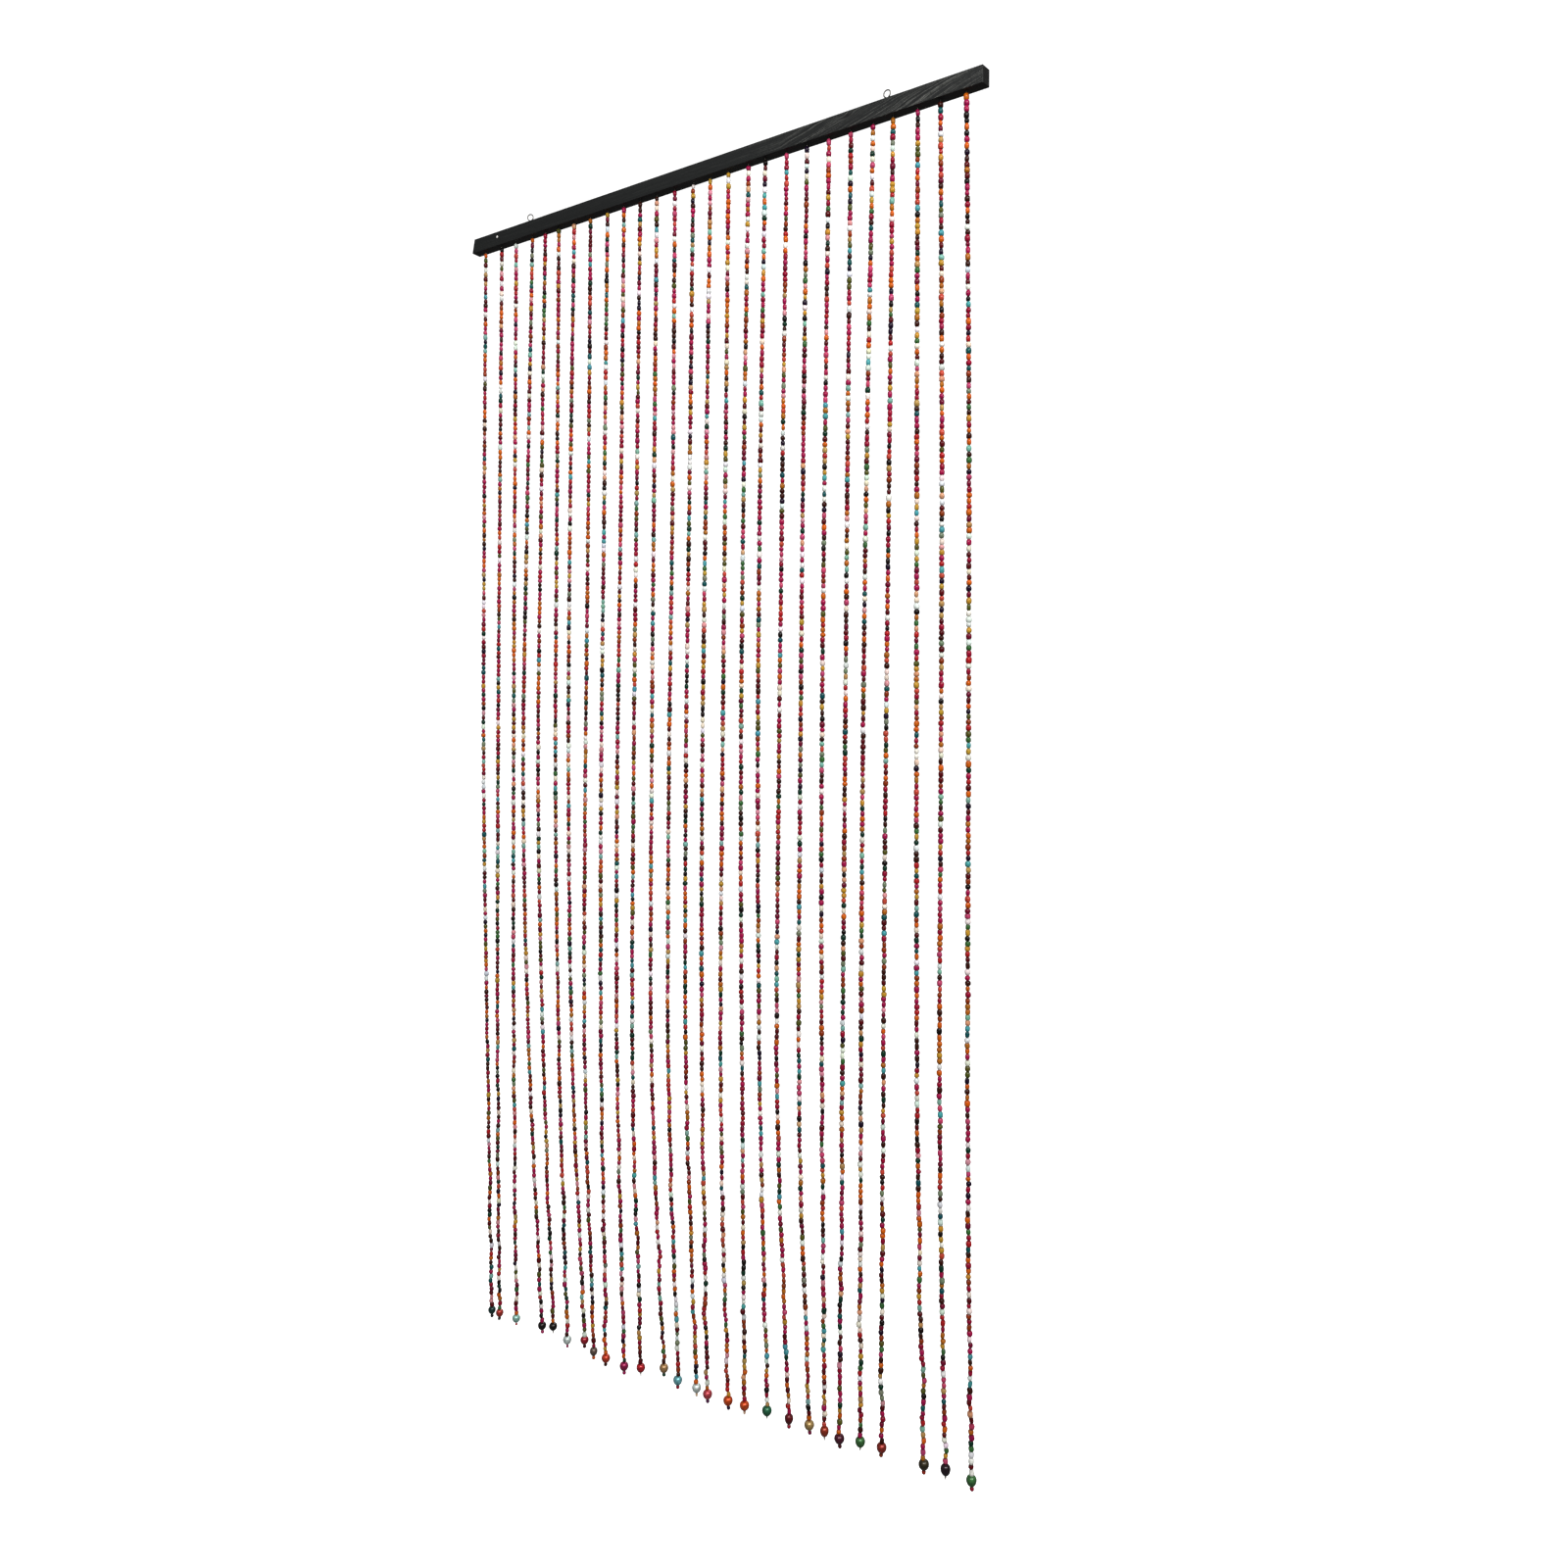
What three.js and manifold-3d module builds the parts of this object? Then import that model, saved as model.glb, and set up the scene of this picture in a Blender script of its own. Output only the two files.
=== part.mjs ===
// A bead curtain for a doorway: strings of small painted wooden beads that hang side by side
// from a black-stained wooden bar, which two steel eye screws hold up.
// Millimetres. X runs along the bar, +Z is up, and the front of the bar faces -Y.
// The origin lies midway between the two eye rings, where the curtain hangs.
import * as THREE from 'three';
import { mergeVertices } from 'three/addons/utils/BufferGeometryUtils.js';
import Module from 'manifold-3d';

// Gap between pieces that are threaded through, or rest on, one another
const gap = 0.3;

// The bar: a planed batten, both ends sawn a little out of square
const barLength = 1000;
const barDepth = 18;
const barHeight = 24.5;
const barRightEnd = 508;
const barEdgeRadius = 0.8;
const barEdgeSteps = 3;
const leftCutLean = 6;
const rightCutSkew = 2;
const ringToBarTop = 10;
const barTop = -ringToBarTop;
const barUnderside = barTop - barHeight;
const barLeftEnd = barRightEnd - barLength;

// The eye screws: 12.5 mm steel eyes, each turned into a pilot hole in the bar's top. The left one
// is screwed in a little further round than the right one.
const eyeSpacing = 712;
const eyeOuterDiameter = 12.5;
const eyeWire = 1.9;
const eyeShankDepth = 13;
const eyeTipLength = 3;
const eyeMouth = 0.6;
const eyeRingSteps = 20;
const eyeWireSides = 6;
const eyeShankSides = 8;
const leftEyeTurn = 20;
const ringRadius = (eyeOuterDiameter - eyeWire) / 2;

// The small pale nail in the bar's front, near the left end
const nailX = -430;
const nailZ = -19.5;
const nailHeadDiameter = 4.4;
const nailHeadHeight = 0.8;
const nailHeadRim = 0.5;
const nailShank = 1.6;
const nailLength = 9;
const nailSides = 10;

// Each string: a knotted thread through a drilled hole, then small beads, one big bead and a stop bead
const strandPitch = 36.3;
const firstStrandX = -467;
const threadHole = 3.2;
const thread = 1.2;
const knotWidth = 4.4;
const bareThread = 3;
const smallBeadWidth = 7.6;
const strandSteps = 14;
const endBeadBore = 2.4;
const endBeadSteps = 6;
const endBeadSides = 12;
const stopBeadWidth = 4.6;
const stopBeadHeight = 5;
const threadSides = 4;
const threadOverlap = 1;
const knotZ = barTop + Math.sqrt((knotWidth / 2 + gap) ** 2 - (threadHole / 2) ** 2);
const lumpSides = 6;
const lumpRings = 4;
const holeSides = 8;

// One row for each string, from left to right, in millimetres. off: how far its hole is from even
// spacing. quarter, half, low, foot: how far the string has swayed along the bar at a quarter, a half
// and three quarters of its drop, and at its end bead. drop: from the eye rings' middle down to the
// middle of the end bead. wide, tall: the end bead's size. colour: the end bead's paint.
const strandColumns = ['off', 'quarter', 'half', 'low', 'foot', 'drop', 'wide', 'tall', 'colour'];
const strandRows = [
  [-2, -9, -15, -9, -2, 1983, 14, 15, 'petrol'],
  [3, -10, -19, -24, -23, 1983, 14, 15, 'coral'],
  [3, -8, -15, -19, -16, 1982, 14.5, 15, 'mint'],
  [7, -17, -31, -20, 9, 1978, 15, 15, 'black'],
  [2, -14, -25, -16, 5, 1972, 14.5, 15, 'black'],
  [-2, -8, -15, -9, 7, 1987, 15, 15.5, 'paleMint'],
  [-2, -13, -20, -14, 12, 1976, 14.5, 15, 'crimson'],
  [-1, -8, -18, -22, -4, 1990, 13.5, 15.5, 'greyBrown'],
  [1, -10, -20, -22, -14, 1994, 15, 15.5, 'vermilion'],
  [1, -9, -20, -22, -9, 1996, 15, 16, 'raspberry'],
  [0, -10, -19, -23, -7, 1988, 15, 16, 'red'],
  [-1, -8, -15, -17, 8, 1974, 15, 15.5, 'tan'],
  [0, -6, -16, -18, 0, 1986, 15, 16, 'turquoise'],
  [1, -9, -18, -18, 2, 1987, 15, 16, 'paleMint'],
  [-1, -10, -19, -20, -10, 1991, 15.5, 16, 'rose'],
  [-2, -7, -14, -18, -4, 1989, 15.5, 16, 'orange'],
  [0, -10, -16, -14, -10, 1987, 15.5, 16, 'orange'],
  [-5, -10, -15, -11, 2, 1982, 15.5, 16.5, 'emerald'],
  [-2, -8, -15, -18, 4, 1982, 13.5, 17.5, 'maroon'],
  [-2, -7, -12, -14, 5, 1980, 15.5, 16, 'gold'],
  [0, -7, -12, -11, -6, 1981, 13.5, 17, 'rust'],
  [1, -5, -9, -13, -17, 1984, 15.5, 16, 'plum'],
  [2, -10, -16, -18, -18, 1977, 15, 16.5, 'green'],
  [-2, -5, -10, -13, -14, 1974, 15, 16, 'brick'],
  [1, 0, 1, 4, 16, 1976, 15.5, 16, 'olive'],
  [0, 4, 4, 4, 15, 1972, 14.5, 18, 'aubergine'],
  [3, 6, 7, 8, 16, 1974, 15, 17, 'green'],
];

const paint = {
  petrol: 0x123a38,
  coral: 0xc0392f,
  mint: 0x9fd2c4,
  black: 0x17110f,
  paleMint: 0xdcece6,
  crimson: 0xb01f33,
  greyBrown: 0x6f5f55,
  vermilion: 0xcf4327,
  raspberry: 0xa81a57,
  red: 0xc4202c,
  tan: 0xb58c5c,
  turquoise: 0x7cc6cf,
  rose: 0xd5505a,
  orange: 0xdd6a25,
  emerald: 0x0f7a4c,
  maroon: 0x6d121b,
  gold: 0xc0a064,
  rust: 0xa93a20,
  plum: 0x571a31,
  green: 0x3f8a45,
  brick: 0x9c2f25,
  olive: 0x3b3420,
  aubergine: 0x24131f,
};
const stainedWood = new THREE.MeshStandardMaterial({ color: 0x1c1917, roughness: 0.5, metalness: 0 });
const steel = new THREE.MeshStandardMaterial({ color: 0x9c9a96, roughness: 0.35, metalness: 1 });
const paleNail = new THREE.MeshStandardMaterial({ color: 0xc9c2b6, roughness: 0.4, metalness: 0.6 });
const mixedBeads = new THREE.MeshStandardMaterial({ color: 0x8a3c40, roughness: 0.35, metalness: 0 });

const wasm = await Module();
wasm.setup();

// A closed geometry as a solid that can be joined and cut
function solid(geometry) {
  geometry.deleteAttribute('normal');
  geometry.deleteAttribute('uv');
  const merged = mergeVertices(geometry, 1e-4);
  return new wasm.Manifold(new wasm.Mesh({
    numProp: 3,
    vertProperties: new Float32Array(merged.attributes.position.array),
    triVerts: new Uint32Array(merged.index.array),
  }));
}

// A solid back as a named piece
function piece(name, body, material) {
  const mesh = body.getMesh();
  const geometry = new THREE.BufferGeometry();
  geometry.setAttribute('position', new THREE.BufferAttribute(mesh.vertProperties, 3));
  geometry.setIndex(new THREE.BufferAttribute(mesh.triVerts, 1));
  geometry.computeVertexNormals();
  const result = new THREE.Mesh(geometry, material);
  result.name = name;
  return result;
}

// An upright round rod between two heights
function rod(width, sides, x, bottom, top) {
  const geometry = new THREE.CylinderGeometry(width / 2, width / 2, top - bottom, sides);
  geometry.rotateX(Math.PI / 2);
  geometry.translate(x, 0, (top + bottom) / 2);
  return solid(geometry);
}

// A turned piece: points are [radius, height], and the axis is Z
function turned(points, sides) {
  const geometry = new THREE.LatheGeometry(points.map(([r, h]) => new THREE.Vector2(r, h)), sides);
  geometry.rotateX(Math.PI / 2);
  return geometry;
}

// An oval lump, such as a knot or a stop bead
function lump(width, height, x, z) {
  const geometry = new THREE.SphereGeometry(width / 2, lumpSides, lumpRings);
  geometry.rotateX(Math.PI / 2);
  geometry.scale(1, 1, height / width);
  geometry.translate(x, 0, z);
  return solid(geometry);
}

const strands = strandRows.map((row, index) => {
  const values = Object.fromEntries(strandColumns.map((column, place) => [column, row[place]]));
  const hole = firstStrandX + index * strandPitch + values.off;
  const endBead = { x: hole + values.foot, z: -values.drop };
  return {
    ...values,
    hole,
    endBead,
    label: String(index + 1).padStart(2, '0'),
    firstBeadTop: barUnderside - bareThread,
    lastBeadFoot: endBead.z + values.tall / 2 + gap,
    stopBeadZ: endBead.z - values.tall / 2 - gap - stopBeadHeight / 2,
  };
});

// The bar's section has eased edges, and runs along X
function barBlank() {
  const halfDepth = barDepth / 2;
  const halfHeight = barHeight / 2;
  const r = barEdgeRadius;
  const section = new THREE.Shape();
  section.absarc(halfDepth - r, halfHeight - r, r, 0, Math.PI / 2);
  section.absarc(r - halfDepth, halfHeight - r, r, Math.PI / 2, Math.PI);
  section.absarc(r - halfDepth, r - halfHeight, r, Math.PI, Math.PI * 1.5);
  section.absarc(halfDepth - r, r - halfHeight, r, Math.PI * 1.5, Math.PI * 2);
  const length = barLength + leftCutLean + rightCutSkew;
  const geometry = new THREE.ExtrudeGeometry(section, {
    depth: length, bevelEnabled: false, curveSegments: barEdgeSteps,
  });
  geometry.rotateX(Math.PI / 2);
  geometry.rotateZ(Math.PI / 2);
  geometry.translate(barRightEnd + rightCutSkew - length, 0, (barTop + barUnderside) / 2);
  return solid(geometry);
}

// What the out-of-square saw cuts take off: the left one leans, and the right one is skewed
function sawWaste(side) {
  const size = 4 * barHeight;
  const geometry = new THREE.BoxGeometry(size, size, size);
  geometry.translate(side * size / 2, 0, 0);
  if (side < 0) geometry.rotateY(Math.atan2(leftCutLean, barHeight));
  else geometry.rotateZ(-Math.atan2(rightCutSkew, barDepth));
  const middle = side < 0 ? barLeftEnd : barRightEnd + rightCutSkew / 2;
  geometry.translate(middle, 0, (barTop + barUnderside) / 2);
  return solid(geometry);
}

// How wide a hole is across its corners, so that its flat sides clear the round piece in it
function holeFor(width) {
  return (width + 2 * gap) / Math.cos(Math.PI / holeSides);
}

function nailHole() {
  const radius = holeFor(nailShank) / 2;
  const geometry = new THREE.CylinderGeometry(radius, radius, nailLength + 2 * gap, holeSides);
  geometry.translate(nailX, (nailLength - barDepth) / 2, nailZ);
  return solid(geometry);
}

function makeBar() {
  let bar = barBlank().subtract(sawWaste(-1)).subtract(sawWaste(1));
  for (const { hole } of strands) {
    bar = bar.subtract(rod(threadHole, holeSides, hole, barUnderside - gap, barTop + gap));
  }
  for (const side of [-1, 1]) {
    const floor = barTop - eyeShankDepth - gap;
    bar = bar.subtract(rod(holeFor(eyeWire), holeSides, side * eyeSpacing / 2, floor, barTop + gap));
  }
  return piece('bar', bar.subtract(nailHole()), stainedWood);
}

// An eye screw: a wire bent round into a ring, its end stopping just short of its own shank
function makeEye(name, x, turn) {
  const ring = new THREE.TorusGeometry(ringRadius, eyeWire / 2, eyeWireSides, eyeRingSteps);
  ring.rotateX(Math.PI / 2);
  const mouth = new THREE.BoxGeometry(eyeMouth, eyeWire * 2, eyeWire * 2);
  mouth.translate(eyeWire / 2 + eyeMouth, 0, -ringRadius);
  const wire = eyeWire / 2;
  const tip = barTop - eyeShankDepth;
  const profile = [[0, tip], [wire, tip + eyeTipLength], [wire, -ringRadius], [0, -ringRadius]];
  const shank = turned(profile, eyeShankSides);
  const body = solid(ring).subtract(solid(mouth)).add(solid(shank));
  return piece(name, body.rotate([0, 0, turn]).translate([x, 0, 0]), steel);
}

function makeNail() {
  const head = nailHeadDiameter / 2;
  const shank = nailShank / 2;
  const profile = [
    [0, -nailLength],
    [shank, -nailLength + shank],
    [shank, gap],
    [head, gap],
    [head - nailHeadRim, gap + nailHeadHeight / 2],
    [0, gap + nailHeadHeight],
  ];
  const geometry = turned(profile, nailSides);
  geometry.rotateX(Math.PI / 2);
  geometry.translate(nailX, -barDepth / 2, nailZ);
  return piece('nail', solid(geometry), paleNail);
}

// The line that a string of small beads follows, down to the top of its end bead
function strandLine(strand) {
  const { hole, firstBeadTop, lastBeadFoot } = strand;
  const at = (part, sway) => new THREE.Vector3(
    hole + sway, 0, THREE.MathUtils.lerp(firstBeadTop, lastBeadFoot, part),
  );
  return new THREE.CatmullRomCurve3([
    at(0, 0), at(0.25, strand.quarter), at(0.5, strand.half), at(0.75, strand.low), at(1, strand.foot),
  ]);
}

function makeStrand(strand) {
  const half = smallBeadWidth / 2;
  const section = new THREE.Shape([
    new THREE.Vector2(half, 0), new THREE.Vector2(0, half),
    new THREE.Vector2(-half, 0), new THREE.Vector2(0, -half),
  ]);
  const beads = new THREE.ExtrudeGeometry(section, {
    steps: strandSteps, bevelEnabled: false, extrudePath: strandLine(strand),
  });
  const { hole, endBead, firstBeadTop, lastBeadFoot, stopBeadZ } = strand;
  const body = solid(beads)
    .add(lump(knotWidth, knotWidth, hole, knotZ))
    .add(rod(thread, threadSides, hole, firstBeadTop - threadOverlap, knotZ))
    .add(rod(thread, threadSides, endBead.x, stopBeadZ, lastBeadFoot + threadOverlap))
    .add(lump(stopBeadWidth, stopBeadHeight, endBead.x, stopBeadZ));
  return piece(`strand_${strand.label}`, body, mixedBeads);
}

// A big end bead: an oval with a bore along its axis
function makeEndBead(strand) {
  const bore = endBeadBore / 2;
  const first = Math.asin(bore / (strand.wide / 2));
  const profile = [];
  for (let step = 0; step <= endBeadSteps; step += 1) {
    const angle = THREE.MathUtils.lerp(first, Math.PI - first, step / endBeadSteps);
    profile.push([Math.sin(angle) * strand.wide / 2, -Math.cos(angle) * strand.tall / 2]);
  }
  profile.push(profile[0]);
  const geometry = turned(profile, endBeadSides);
  geometry.translate(strand.endBead.x, 0, strand.endBead.z);
  const colour = new THREE.MeshStandardMaterial({ color: paint[strand.colour], roughness: 0.2 });
  return piece(`end_bead_${strand.label}`, solid(geometry), colour);
}

const curtain = new THREE.Group();
curtain.add(makeBar());
curtain.add(makeEye('eye_left', -eyeSpacing / 2, leftEyeTurn));
curtain.add(makeEye('eye_right', eyeSpacing / 2, 0));
curtain.add(makeNail());
for (const strand of strands) {
  curtain.add(makeStrand(strand));
  curtain.add(makeEndBead(strand));
}

export default curtain;
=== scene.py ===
# %% [markdown]
# # A bead curtain on a black wooden bar
# A door curtain of this kind is strung by hand. A thread is knotted over a hole in the bar and
# hangs down through it, carries about 240 small dyed wooden beads and one big lacquered bead,
# and ends in a stop bead. This lesson dresses the plain solids of the curtain: it takes each
# place and size from them, so nothing has to be fitted by eye.

# %% Load the plain solids
import math

import bmesh
import bpy
from mathutils import Matrix, Vector, noise


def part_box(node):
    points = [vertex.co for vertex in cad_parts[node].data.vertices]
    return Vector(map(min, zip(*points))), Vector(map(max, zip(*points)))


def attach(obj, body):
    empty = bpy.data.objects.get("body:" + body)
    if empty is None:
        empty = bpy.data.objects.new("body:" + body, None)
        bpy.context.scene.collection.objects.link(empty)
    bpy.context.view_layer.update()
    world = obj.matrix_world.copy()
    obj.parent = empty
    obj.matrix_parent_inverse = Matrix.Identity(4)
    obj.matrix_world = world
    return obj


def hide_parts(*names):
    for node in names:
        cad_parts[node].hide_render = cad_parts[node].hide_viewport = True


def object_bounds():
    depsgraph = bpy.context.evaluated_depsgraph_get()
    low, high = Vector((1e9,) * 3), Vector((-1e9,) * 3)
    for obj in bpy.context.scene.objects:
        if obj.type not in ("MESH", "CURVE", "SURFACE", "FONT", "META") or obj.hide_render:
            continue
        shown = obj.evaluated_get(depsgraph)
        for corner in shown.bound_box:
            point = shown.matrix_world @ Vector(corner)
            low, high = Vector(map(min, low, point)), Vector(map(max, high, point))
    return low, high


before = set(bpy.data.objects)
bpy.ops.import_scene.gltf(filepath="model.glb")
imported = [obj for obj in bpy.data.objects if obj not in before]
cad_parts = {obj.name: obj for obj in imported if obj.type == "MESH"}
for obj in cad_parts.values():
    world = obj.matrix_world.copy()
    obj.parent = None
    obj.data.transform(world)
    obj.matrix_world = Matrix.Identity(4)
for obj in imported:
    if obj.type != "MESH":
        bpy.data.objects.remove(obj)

solid_box = [list(corner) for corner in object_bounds()]
MM = 0.001
strand_labels = sorted(name[-2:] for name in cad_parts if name.startswith("strand_"))
bar_low, bar_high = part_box("bar")
print("strands:", len(strand_labels), "bar:", [round(v, 3) for v in bar_high - bar_low])

# %% [markdown]
# ## The camera
# The photograph is square, and its vanishing points say where it was taken from: well to the
# right of the curtain, at half its height, almost level, with a 27 mm lens on a 36 mm frame.

# %% Set the camera
PICTURE_PX = 1600
FOCAL_PX = 1200
SENSOR_MM = 36
camera_place = Vector((1.170, -1.514, -0.947))
camera_turn = math.radians(33.2)
camera_tilt = math.radians(-1.47)

lens = bpy.data.cameras.new("camera")
lens.sensor_width = SENSOR_MM
lens.lens = SENSOR_MM * FOCAL_PX / PICTURE_PX
camera = bpy.data.objects.new("camera", lens)
camera.location = camera_place
camera.rotation_euler = (math.pi / 2 + camera_tilt, 0, camera_turn)
bpy.context.scene.collection.objects.link(camera)
bpy.context.scene.camera = camera
print("lens:", lens.lens, "mm")

# %% [markdown]
# ## Node trees as plain sums
# Materials and Geometry Nodes are both node trees. `Graph.add` makes any node from its type, its
# settings and its inputs. `Value` wraps a number that flows through a tree, so that ordinary
# Python sums, such as `1 - mask * 0.5`, add the Math nodes.

# %% A small language for node trees
class Value:
    """A socket in a node tree. Python's signs add the Math nodes."""

    def __init__(self, graph, socket):
        self.graph = graph
        self.socket = socket

    def of(self, name):
        """Another output of the same node."""
        return Value(self.graph, self.graph.find(self.socket.node.outputs, name))


def teach_sign(name, operation):
    """Lets one of Python's signs work with a Value on either side."""
    setattr(Value, f"__{name}__", lambda self, other: self.graph.number(operation, self, other))
    setattr(Value, f"__r{name}__", lambda self, other: self.graph.number(operation, other, self))


for sign_name, node_operation in {
    "add": "ADD", "sub": "SUBTRACT", "mul": "MULTIPLY", "truediv": "DIVIDE", "pow": "POWER",
}.items():
    teach_sign(sign_name, node_operation)


class Graph:
    """A node tree that is built step by step."""

    def __init__(self, tree):
        self.tree = tree

    @staticmethod
    def find(sockets, key):
        if isinstance(key, int):
            return [s for s in sockets if s.enabled][key]
        return next(s for s in sockets if s.enabled and s.name == key)

    def add(self, kind, settings=None, inputs=None, output=0):
        node = self.tree.nodes.new(kind)
        for name, setting in (settings or {}).items():
            if name == "stops":
                self._set_stops(node.color_ramp, setting)
            else:
                setattr(node, name, setting)
        for key, value in (inputs or {}).items():
            socket = self.find(node.inputs, key)
            for item in value if isinstance(value, list) else [value]:
                if isinstance(item, Value):
                    self.tree.links.new(item.socket, socket)
                else:
                    socket.default_value = item
        outputs = [s for s in node.outputs if s.enabled]
        return Value(self, self.find(node.outputs, output)) if outputs else None

    @staticmethod
    def _set_stops(ramp, stops):
        while len(ramp.elements) < len(stops):
            ramp.elements.new(1.0)
        for element, (position, colour) in zip(ramp.elements, stops):
            element.position = position
            element.color = colour

    def number(self, operation, *values, kind="ShaderNodeMath"):
        """A Math node, with the values in the order of its sockets."""
        return self.add(kind, {"operation": operation}, dict(enumerate(values)))

    def vector(self, operation, *values):
        """The same on vectors."""
        return self.number(operation, *values, kind="ShaderNodeVectorMath")

    def mix(self, factor, first, second, blend="MIX"):
        """One colour into another."""
        return self.add(
            "ShaderNodeMix", {"data_type": "RGBA", "blend_type": blend},
            {"Factor": factor, "A": first, "B": second},
        )


print("node language:", Value.__name__, "and", Graph.__name__)

# %% [markdown]
# ## Trees that make shapes
# A Geometry Nodes tree works through a modifier. `grown` puts a tree on a simple object, sets its
# named inputs, takes the result as a plain mesh and removes the modifier. The inputs keep their
# names in the tree, so one tree can serve strings, wires and screw threads of any size.

# %% Helpers that make shapes
def tree_with(name, sockets):
    """A Geometry Nodes tree with the named inputs, and the wrapped inputs by name."""
    tree = bpy.data.node_groups.new(name, "GeometryNodeTree")
    for label, kind in sockets.items():
        tree.interface.new_socket(label, in_out="INPUT", socket_type=f"NodeSocket{kind}")
    tree.interface.new_socket("Geometry", in_out="OUTPUT", socket_type="NodeSocketGeometry")
    graph = Graph(tree)
    start = tree.nodes.new("NodeGroupInput")
    wrapped = {label: Value(graph, start.outputs[label]) for label in sockets}
    return graph, wrapped


def ended(graph, shape, finish):
    """The tree, ended with the shape in its finish."""
    shape = graph.add("GeometryNodeSetMaterial", None, {"Geometry": shape, "Material": finish})
    end = graph.tree.nodes.new("NodeGroupOutput")
    graph.tree.links.new(shape.socket, end.inputs["Geometry"])
    return graph.tree


def grown(tree, start_object, values):
    """What a tree makes of an object, as a plain mesh. Inputs are set by identifier."""
    modifier = start_object.modifiers.new("grow", "NODES")
    modifier.node_group = tree
    for socket in tree.interface.items_tree:
        if socket.in_out == "INPUT" and socket.name in values:
            modifier[socket.identifier] = values[socket.name]
    depsgraph = bpy.context.evaluated_depsgraph_get()
    mesh = bpy.data.meshes.new_from_object(
        start_object.evaluated_get(depsgraph), preserve_all_data_layers=True, depsgraph=depsgraph
    )
    start_object.modifiers.remove(modifier)
    return mesh


def linked(name, mesh):
    """A mesh as an object in the scene."""
    made = bpy.data.objects.new(name, mesh)
    bpy.context.scene.collection.objects.link(made)
    return made


def as_mesh(shape, name):
    """What a BMesh holds, as a smooth mesh."""
    for face in shape.faces:
        face.smooth = True
    mesh = bpy.data.meshes.new(name)
    shape.to_mesh(mesh)
    shape.free()
    return mesh


def line_object(name, points):
    """A string of edges, for a tree to follow."""
    mesh = bpy.data.meshes.new(name)
    mesh.from_pydata([tuple(p) for p in points], [(i, i + 1) for i in range(len(points) - 1)], [])
    return linked(name, mesh)


print("shape helpers:", [helper.__name__ for helper in (tree_with, grown, linked, as_mesh)])

# %% [markdown]
# ## Paints
# The beads are dyed in small batches, so there are about two dozen colours, and dark reds and
# raspberry come up most often. Each row is a name, how often the colour is drawn, and the
# colour as it looks on screen.

# %% Mix the paints
bead_paints = [
    ("raspberry", 18, "AE1250"),
    ("crimson", 11, "A00A34"),
    ("red", 6, "B81E24"),
    ("coral", 4, "CC4A38"),
    ("maroon", 9, "5E0812"),
    ("wine", 6, "780A30"),
    ("brown", 9, "3C140A"),
    ("black", 5, "160B0A"),
    ("aubergine", 3, "1E0C28"),
    ("bottle green", 4, "083826"),
    ("leaf green", 3, "3A7038"),
    ("olive", 4, "56581E"),
    ("teal", 3, "0C585A"),
    ("turquoise", 3, "4AA8AE"),
    ("mint", 3, "84C0B0"),
    ("pale mint", 4, "E8F6F0"),
    ("cream", 5, "F8ECD8"),
    ("white", 6, "FFFFFC"),
    ("mustard", 6, "CC9A30"),
    ("ochre", 5, "BC6C1A"),
    ("orange", 12, "DC640C"),
    ("rust", 6, "96380F"),
    ("pink", 4, "CC4470"),
    ("light pink", 3, "E49AA6"),
    ("peach", 2, "E6A880"),
    ("tan", 3, "C09858"),
    ("sage", 2, "7C8C70"),
]
lacquers = {
    "petrol": "123F3C", "coral": "C0392F", "mint": "9FD2C4", "black": "17110F",
    "pale_mint": "DCECE6", "crimson": "B01F33", "grey_brown": "6F5F55", "vermilion": "CF4327",
    "raspberry": "A81A57", "red": "C4202C", "tan": "B58C5C", "turquoise": "7CC6CF",
    "rose": "D5505A", "orange": "DE5318", "emerald": "2A7450", "maroon": "6D121B",
    "gold": "C0A064", "rust": "A93A20", "plum": "571A31", "green": "417A41",
    "brick": "9C2F25", "olive": "3B3420", "aubergine": "24131F",
}
clear_thread = "CFCBC0"


def linear(code):
    """A screen colour as the linear numbers that Blender works in."""
    channels = [int(code[i:i + 2], 16) / 255 for i in (0, 2, 4)]
    light = [c / 12.92 if c <= 0.04045 else ((c + 0.055) / 1.055) ** 2.4 for c in channels]
    return (*light, 1.0)


paint_total = sum(weight for _, weight, _ in bead_paints)
paint_stops = []
weight_so_far = 0
for _, weight, code in bead_paints:
    paint_stops.append((weight_so_far / paint_total, linear(code)))
    weight_so_far += weight
print("paints:", len(bead_paints), "lacquers:", len(lacquers))

# %% [markdown]
# ## Starting a finish
# Every finish starts from Blender's Principled shader. What varies over a surface comes from
# noise in the object's own coordinates, pulled out along the grain, so it holds at any size of
# picture and needs no image.

# %% Helpers for finishes
FINE_DETAIL = 3.0
SOFT_DETAIL = 2.0


def new_finish(name):
    """A material with its own graph and its shader node."""
    material = bpy.data.materials.new(name)
    material.use_nodes = True
    shader = material.node_tree.nodes["Principled BSDF"]
    return material, Graph(material.node_tree), shader


def wire(graph, shader, **values):
    """Links or sets the shader's sockets, with _ for a space in a socket's name."""
    for name, value in values.items():
        socket = shader.inputs[name.replace("_", " ")]
        if isinstance(value, Value):
            graph.tree.links.new(value.socket, socket)
        else:
            socket.default_value = value


def stretched(graph, scale, detail=FINE_DETAIL):
    """Noise in object space, pulled out along the axes."""
    place = graph.add("ShaderNodeTexCoord", output="Object")
    spread = graph.add("ShaderNodeMapping", None, {"Vector": place, "Scale": scale})
    return graph.add(
        "ShaderNodeTexNoise", None,
        {"Vector": spread, "Scale": 1.0, "Detail": detail, "Roughness": 0.55},
    )


def ranged(graph, value, start, end):
    """Nought up to the start, one from the end on."""
    return graph.add(
        "ShaderNodeMapRange", None, {"Value": value, "From Min": start, "From Max": end},
    )


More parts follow.
